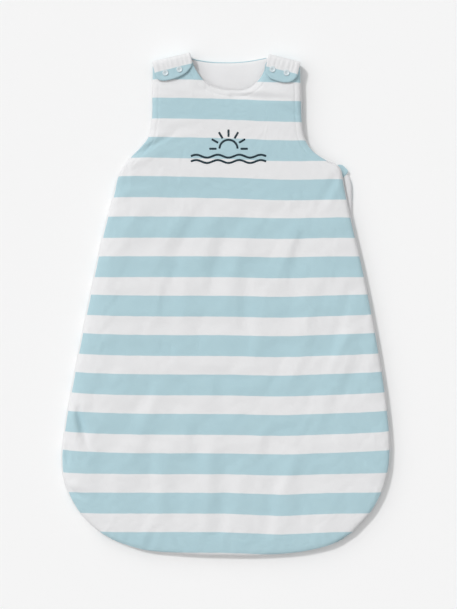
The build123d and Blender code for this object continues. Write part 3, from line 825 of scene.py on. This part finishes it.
fold_at = strap_length - 31.0  # along the strap, where the tab begins


def on_shoulder(side, x, out):
    """The place of a point given in the shoulder's own directions, along the fold and outwards."""
    sign = -1 if side == "left" else 1
    level = np.sqrt(1 - SHOULDER_SLOPE**2)
    return np.stack(
        [
            sign * SHOULDER_X + level * x + sign * SHOULDER_SLOPE * out,
            SHOULDER_Y - sign * SHOULDER_SLOPE * x + level * out,
        ],
        -1,
    )


def strap_grid(side):
    """The strap laid out flat: across it, and along it from the tab's end (0) to the back's seam."""
    low, high = TAB_EDGES[side]
    foot = TAB_END[side]
    top = [(low, strap_length), ((low + high) / 2, strap_length), (high, strap_length)]
    left, right = [foot[0], top[0]], [foot[-1], top[-1]]
    return patch(foot, top, left, right, STRAP_COLUMNS, STRAP_ROWS)


def strap_sheet(side, name, face, material):
    """One face of a strap. It lies half the strap's thickness from the middle path, on the side
    that face (1 outer, -1 lining) says, and rolls in to the path at the strap's edges. Pleats run
    from the fold, where the strap is gathered by its studs, and the caps press in round dents."""
    flat = strap_grid(side)
    ring = edge_of(flat)
    far, _ = nearest_on(ring, flat)
    x, along = flat[..., 0], strap_length - flat[..., 1]
    run = np.linspace(0, strap_length, len(strap_run))
    slope = np.gradient(strap_run, axis=0)
    slope /= np.linalg.norm(slope, axis=1)[:, None]
    out, z = (np.interp(along, run, strap_run[:, k]) for k in (0, 1))
    way_out, way_z = (np.interp(along, run, slope[:, k]) for k in (0, 1))
    on_tab = smooth_step(fold_at - 6, fold_at + 3, along)
    pleats = np.sin(x * 0.93 + 0.8 * np.sin(x * 0.31 + 1.3)) * on_tab
    pleats = pleats * (1 - smooth_step(fold_at + 10, fold_at + 17, along))
    studs = np.min([np.hypot(x - sx, along - fold_at + STUD_Y) for sx in (-STUD_X, STUD_X)], axis=0)
    thick = STRAP_HALF * roll(far / STRAP_ROLL)
    if face > 0:
        thick = thick + (0.30 * pleats - 0.7 * np.exp(-((studs / 6.5) ** 2)) * on_tab) * roll(far / 5)
    out, z = out + face * thick * way_z, z - face * thick * way_out
    lift = 0.9 * on_tab * np.exp(-far / 4) * smooth_step(fold_at + 8, fold_at + 26, along)
    points = with_height(on_shoulder(side, x, out), z + lift)
    cut = np.stack([x, BLUE_TOP + fold_at + WHITE_AT_FOLD[side] - along], -1)
    faces = grid_faces(STRAP_ROWS, STRAP_COLUMNS, flip=face < 0)
    made = thicken(piece(name, points, faces, material, cut), 0.6)
    low_point = np.append(on_shoulder(side, 0.0, BEND_START[0]), BEND_START[1]) * MM
    high_point = np.append(on_shoulder(side, 0.0, BEND_END[0]), BEND_END[1]) * MM
    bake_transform(made)
    return made, flat_area(flat)


for side in ("left", "right"):
    outer, area = strap_sheet(side, f"{side}_strap_outer", 1, striped_jersey)
    inner, _ = strap_sheet(side, f"{side}_strap_lining", -1, white_jersey)
    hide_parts(f"{side}_riser_outer", f"{side}_tab_outer", f"{side}_tab_wadding")
    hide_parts(f"{side}_riser_lining", f"{side}_tab_lining")

# ------------------------------------------------------------------ Press studs
# Two white plastic press studs close each strap. A glossy cap on the outside holds a pin that goes
# through the tab into a socket under it, and the socket snaps onto a stud in the front.

CAP_RADII = [0.02, 2.4, 3.8, 4.2, 4.3, 4.1, 3.6, 3.1, 2.6, 1.9, 1.6, 1.1, 0.02]
CAP_HEIGHTS = [24.55, 24.55, 24.6, 24.9, 25.3, 25.75, 25.95, 25.95, 25.8, 25.55, 25.35, 25.3, 25.28]

cap_gloss = Finish("stud_cap_plastic", specular_ior_level=0.5, coat_roughness=0.12)
cap_place = cap_gloss.node("Attribute", {"attribute_name": "cut"}, {}, "Vector")
cap_far = cap_gloss.node("VectorMath", {"operation": "LENGTH"}, {0: cap_place}, 1)
# Painted shade: a grey disc in the middle of each cap darkens its dished centre.
painted_centre_shade = ((cap_far * -1 + 1.9 * MM) * (1 / (0.5 * MM))).clamped()
scuffs = cap_gloss.noise(cap_place, 420.0, 5.0)
cap_white = cap_gloss.mix(scuffs, (0.66, 0.745, 0.775, 1), (0.60, 0.69, 0.725, 1))
cap_gloss.set("Base Color", cap_gloss.mix(painted_centre_shade, cap_white, (0.52, 0.60, 0.63, 1)))
cap_gloss.set("Roughness", scuffs * 0.18 + 0.16)
cap_gloss.bump(scuffs, 0.00005)

stud_plastic = Finish("stud_plastic", specular_ior_level=0.45)
lie = stud_plastic.place()
speckle = stud_plastic.noise(lie, 600.0, 3.0)
stud_plastic.set("Base Color", stud_plastic.mix(speckle, (0.82, 0.82, 0.81, 1), (0.75, 0.76, 0.76, 1)))
stud_plastic.set("Roughness", speckle * 0.2 + 0.32)
stud_plastic.bump(speckle, 0.00004)

for side in ("left", "right"):
    count, sides = len(CAP_RADII), 48
    disc = np.array(CAP_RADII)[:, None, None] * around(sides)[None, :, ::-1]
    heights = np.repeat(np.array(CAP_HEIGHTS)[:, None], sides, 1)
    centres = [on_shoulder(side, x, STUD_Y) for x in (-STUD_X, STUD_X)]
    caps = np.stack([with_height(disc + centre, heights) for centre in centres])
    faces = tube_faces(count, sides) + tube_faces(count, sides, count * sides)
    made = piece(f"{side}_stud_caps", caps, faces, cap_gloss.material, np.stack([disc, disc]))
    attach(made, f"{side}_strap")
    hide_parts(f"{side}_snap_caps")
    for kind in ("sockets", "studs", "posts"):
        finish_node(f"{side}_snap_{kind}", stud_plastic.material)

# ------------------------------------------------------------------ Embroidery on the chest
# A half sun over two waves is worked in navy rayon satin stitch: side-by-side threads laid across
# each line, which make a raised, softly shining ribbon.

SUN_X, SUN_Y, SUN_RADIUS = 3.5, 216.5, 12.5
RAYS, RAY_START, RAY_END = 7, 16.5, 27.0
WAVE_LEVELS, WAVE_SPAN, WAVE_LIFT, HALF_WAVES = (206.2, 198.8), 105.0, 2.0, 7
STITCH_HALF, STITCH_HEIGHT, STITCH_SIDES = 1.45, 0.66, 12
THREAD = 0.42  # from one thread of the satin stitch to the next
NAVY = (0.0022, 0.0170, 0.0270, 1)
NAVY_LIGHT = (0.0050, 0.0290, 0.0430, 1)

on_front = (np.abs(front_grid[..., 0]) < 75) & (np.abs(front_grid[..., 1] - 215) < 40)
chest = front_surface[on_front]


def on_chest(line):
    """The front's height under each point, a mean of its own points, the near ones counting most."""
    square = ((line[:, None] - chest[None, :, :2]) ** 2).sum(-1)
    share = 1 / (square + 1.0) ** 4
    return (share * chest[:, 2]).sum(1) / share.sum(1)


def satin_line(line):
    """Rings of a raised ribbon along a line. Its section is a half ellipse on a shallow base, and
    its size ripples by the thread."""
    run = np.concatenate([[0], np.cumsum(np.linalg.norm(np.diff(line, axis=0), axis=1))])
    count = int(run[-1] / (THREAD / 2))
    even = np.stack([np.interp(np.linspace(0, run[-1], count), run, axis) for axis in line.T], -1)
    section = around(STITCH_SIDES) * (STITCH_HALF, STITCH_HEIGHT)
    section[:, 1] = np.where(section[:, 1] < 0, section[:, 1] * 0.5, section[:, 1])
    ripple = 1 + 0.07 * np.cos(np.arange(count) * np.pi)
    return carried(even, on_chest(even) + 0.05, section, tapered(count, 4) * ripple)


def satin(name, lines, node):
    """Several ribbons as one piece, in the thread's finish."""
    rings = [satin_line(line) for line in lines]
    faces, first = [], 0
    for part in rings:
        faces += tube_faces(len(part), STITCH_SIDES, first)
        first += len(part) * STITCH_SIDES
    made = piece(name, np.concatenate(rings), faces, thread_finish.material)
    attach(made, "root")
    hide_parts(node)


thread_finish = Finish("rayon_thread", specular_ior_level=0.35)
lie = thread_finish.place()
strands = thread_finish.noise(lie, 1300.0, 3.0)
thread_finish.set("Base Color", thread_finish.mix(strands, NAVY, NAVY_LIGHT))
thread_finish.set("Roughness", strands * 0.2 + 0.42)
thread_finish.bump(strands, 0.00008)

arch = np.radians(np.linspace(180, 0, 120))[:, None]
arch_line = np.hstack([SUN_X + SUN_RADIUS * np.cos(arch), SUN_Y + SUN_RADIUS * np.sin(arch)])
rays = []
for angle in np.radians(np.linspace(0, 180, RAYS)):
    way = np.array([np.cos(angle), np.sin(angle)])
    reach = np.linspace(RAY_START, RAY_END, 30)[:, None]
    rays.append((SUN_X, SUN_Y) + reach * way)
satin("sun_stitches", [arch_line] + rays, "sun_embroidery")

wave_x = np.linspace(-WAVE_SPAN / 2, WAVE_SPAN / 2, 400)
wave_lift = WAVE_LIFT * np.sin((wave_x / WAVE_SPAN + 0.5) * np.pi * HALF_WAVES)
waves = [np.stack([SUN_X + wave_x, level + wave_lift], -1) for level in WAVE_LEVELS]
satin("wave_stitches", waves, "wave_embroidery")

# ------------------------------------------------------------------ The care label
# A blank white satin label is sewn into the left side seam, inside the bag. It lies on the lining
# and curls up a little towards its free end.

LABEL_ROWS, LABEL_COLUMNS = 40, 60
label_low, label_high = (np.array(corner[:]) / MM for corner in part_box("care_label"))
satin_white = Finish("label_satin", sheen_weight=0.1, specular_ior_level=0.55)
lie = satin_white.place()
_, label_y, _ = satin_white.split(lie)
weave = (label_y * (2 * np.pi / (0.35 * MM))).sine()
label_shade = satin_white.noise(lie, 90.0)
label_white = satin_white.mix(label_shade, (0.86, 0.86, 0.86, 1), (0.80, 0.81, 0.82, 1))
satin_white.set("Base Color", label_white)
satin_white.set("Roughness", satin_white.noise(lie, 300.0) * 0.15 + 0.33)
satin_white.bump(weave, 0.00005)

u, v = np.meshgrid(np.linspace(0, 1, LABEL_COLUMNS), np.linspace(0, 1, LABEL_ROWS))
label_x = label_low[0] + (label_high[0] - label_low[0]) * u
label_y = label_low[1] + (label_high[1] - label_low[1]) * v
curl = 0.9 + 1.5 * u**3 + 0.35 * np.sin(np.pi * v) * u + 0.2 * np.sin(7 * u + 3 * v)
label_points = np.stack([label_x, label_y, label_low[2] + curl], -1)
label_faces = grid_faces(LABEL_ROWS, LABEL_COLUMNS)
care_label = piece("care_label_satin", label_points, label_faces, satin_white.material)
thicken(care_label, 0.18)
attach(care_label, "root")
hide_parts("care_label")

# ------------------------------------------------------------------ Floor, light and camera
# The bag lies on a seamless pale sweep and is seen from straight above. A small bright lamp and a
# broad soft panel, both up beyond the neck's left, give it a soft shadow to the right and below.

sweep = Finish("pale_sweep", roughness=0.9)
sweep_shade = sweep.noise(sweep.place(), 1.5)
sweep.set("Base Color", sweep.mix(sweep_shade, (0.93, 0.93, 0.93, 1), (0.92, 0.92, 0.92, 1)))
floor = piece(
    "floor",
    [(-4000, -4000, 0), (4000, -4000, 0), (4000, 4000, 0), (-4000, 4000, 0)],
    [(0, 1, 2, 3)],
    sweep.material,
)

world = bpy.data.worlds.new("studio")
world.use_nodes = True
world.node_tree.nodes["Background"].inputs["Color"].default_value = (1, 1, 1, 1)
world.node_tree.nodes["Background"].inputs["Strength"].default_value = 0.36
bpy.context.scene.world = world


def far_light(name, way, strength, spread):
    """A distant light that shines along way, from a disc that spread degrees of the sky are wide."""
    light = bpy.data.lights.new(name, "SUN")
    light.energy, light.angle = strength, np.radians(spread)
    made = bpy.data.objects.new(name, light)
    bpy.context.scene.collection.objects.link(made)
    made.location = -np.array(way)
    made.rotation_euler = (-made.location).to_track_quat("-Z", "Y").to_euler()


far_light("key", (1, -0.92, -1.85), 1.10, 6)
far_light("soft_panel", (0.6, -0.5, -1.5), 1.22, 95)

SEEN_LENGTH = 0.8475  # metres of floor along the picture's long side
LENS, SENSOR = 85.0, 36.0
camera_data = bpy.data.cameras.new("camera")
camera_data.lens, camera_data.sensor_width = LENS, SENSOR
camera = bpy.data.objects.new("camera", camera_data)
bpy.context.scene.collection.objects.link(camera)
camera.location = (0.0035, 0.0, SEEN_LENGTH * LENS / SENSOR + 0.020)
bpy.context.scene.camera = camera
bpy.context.scene.view_settings.view_transform = "Standard"
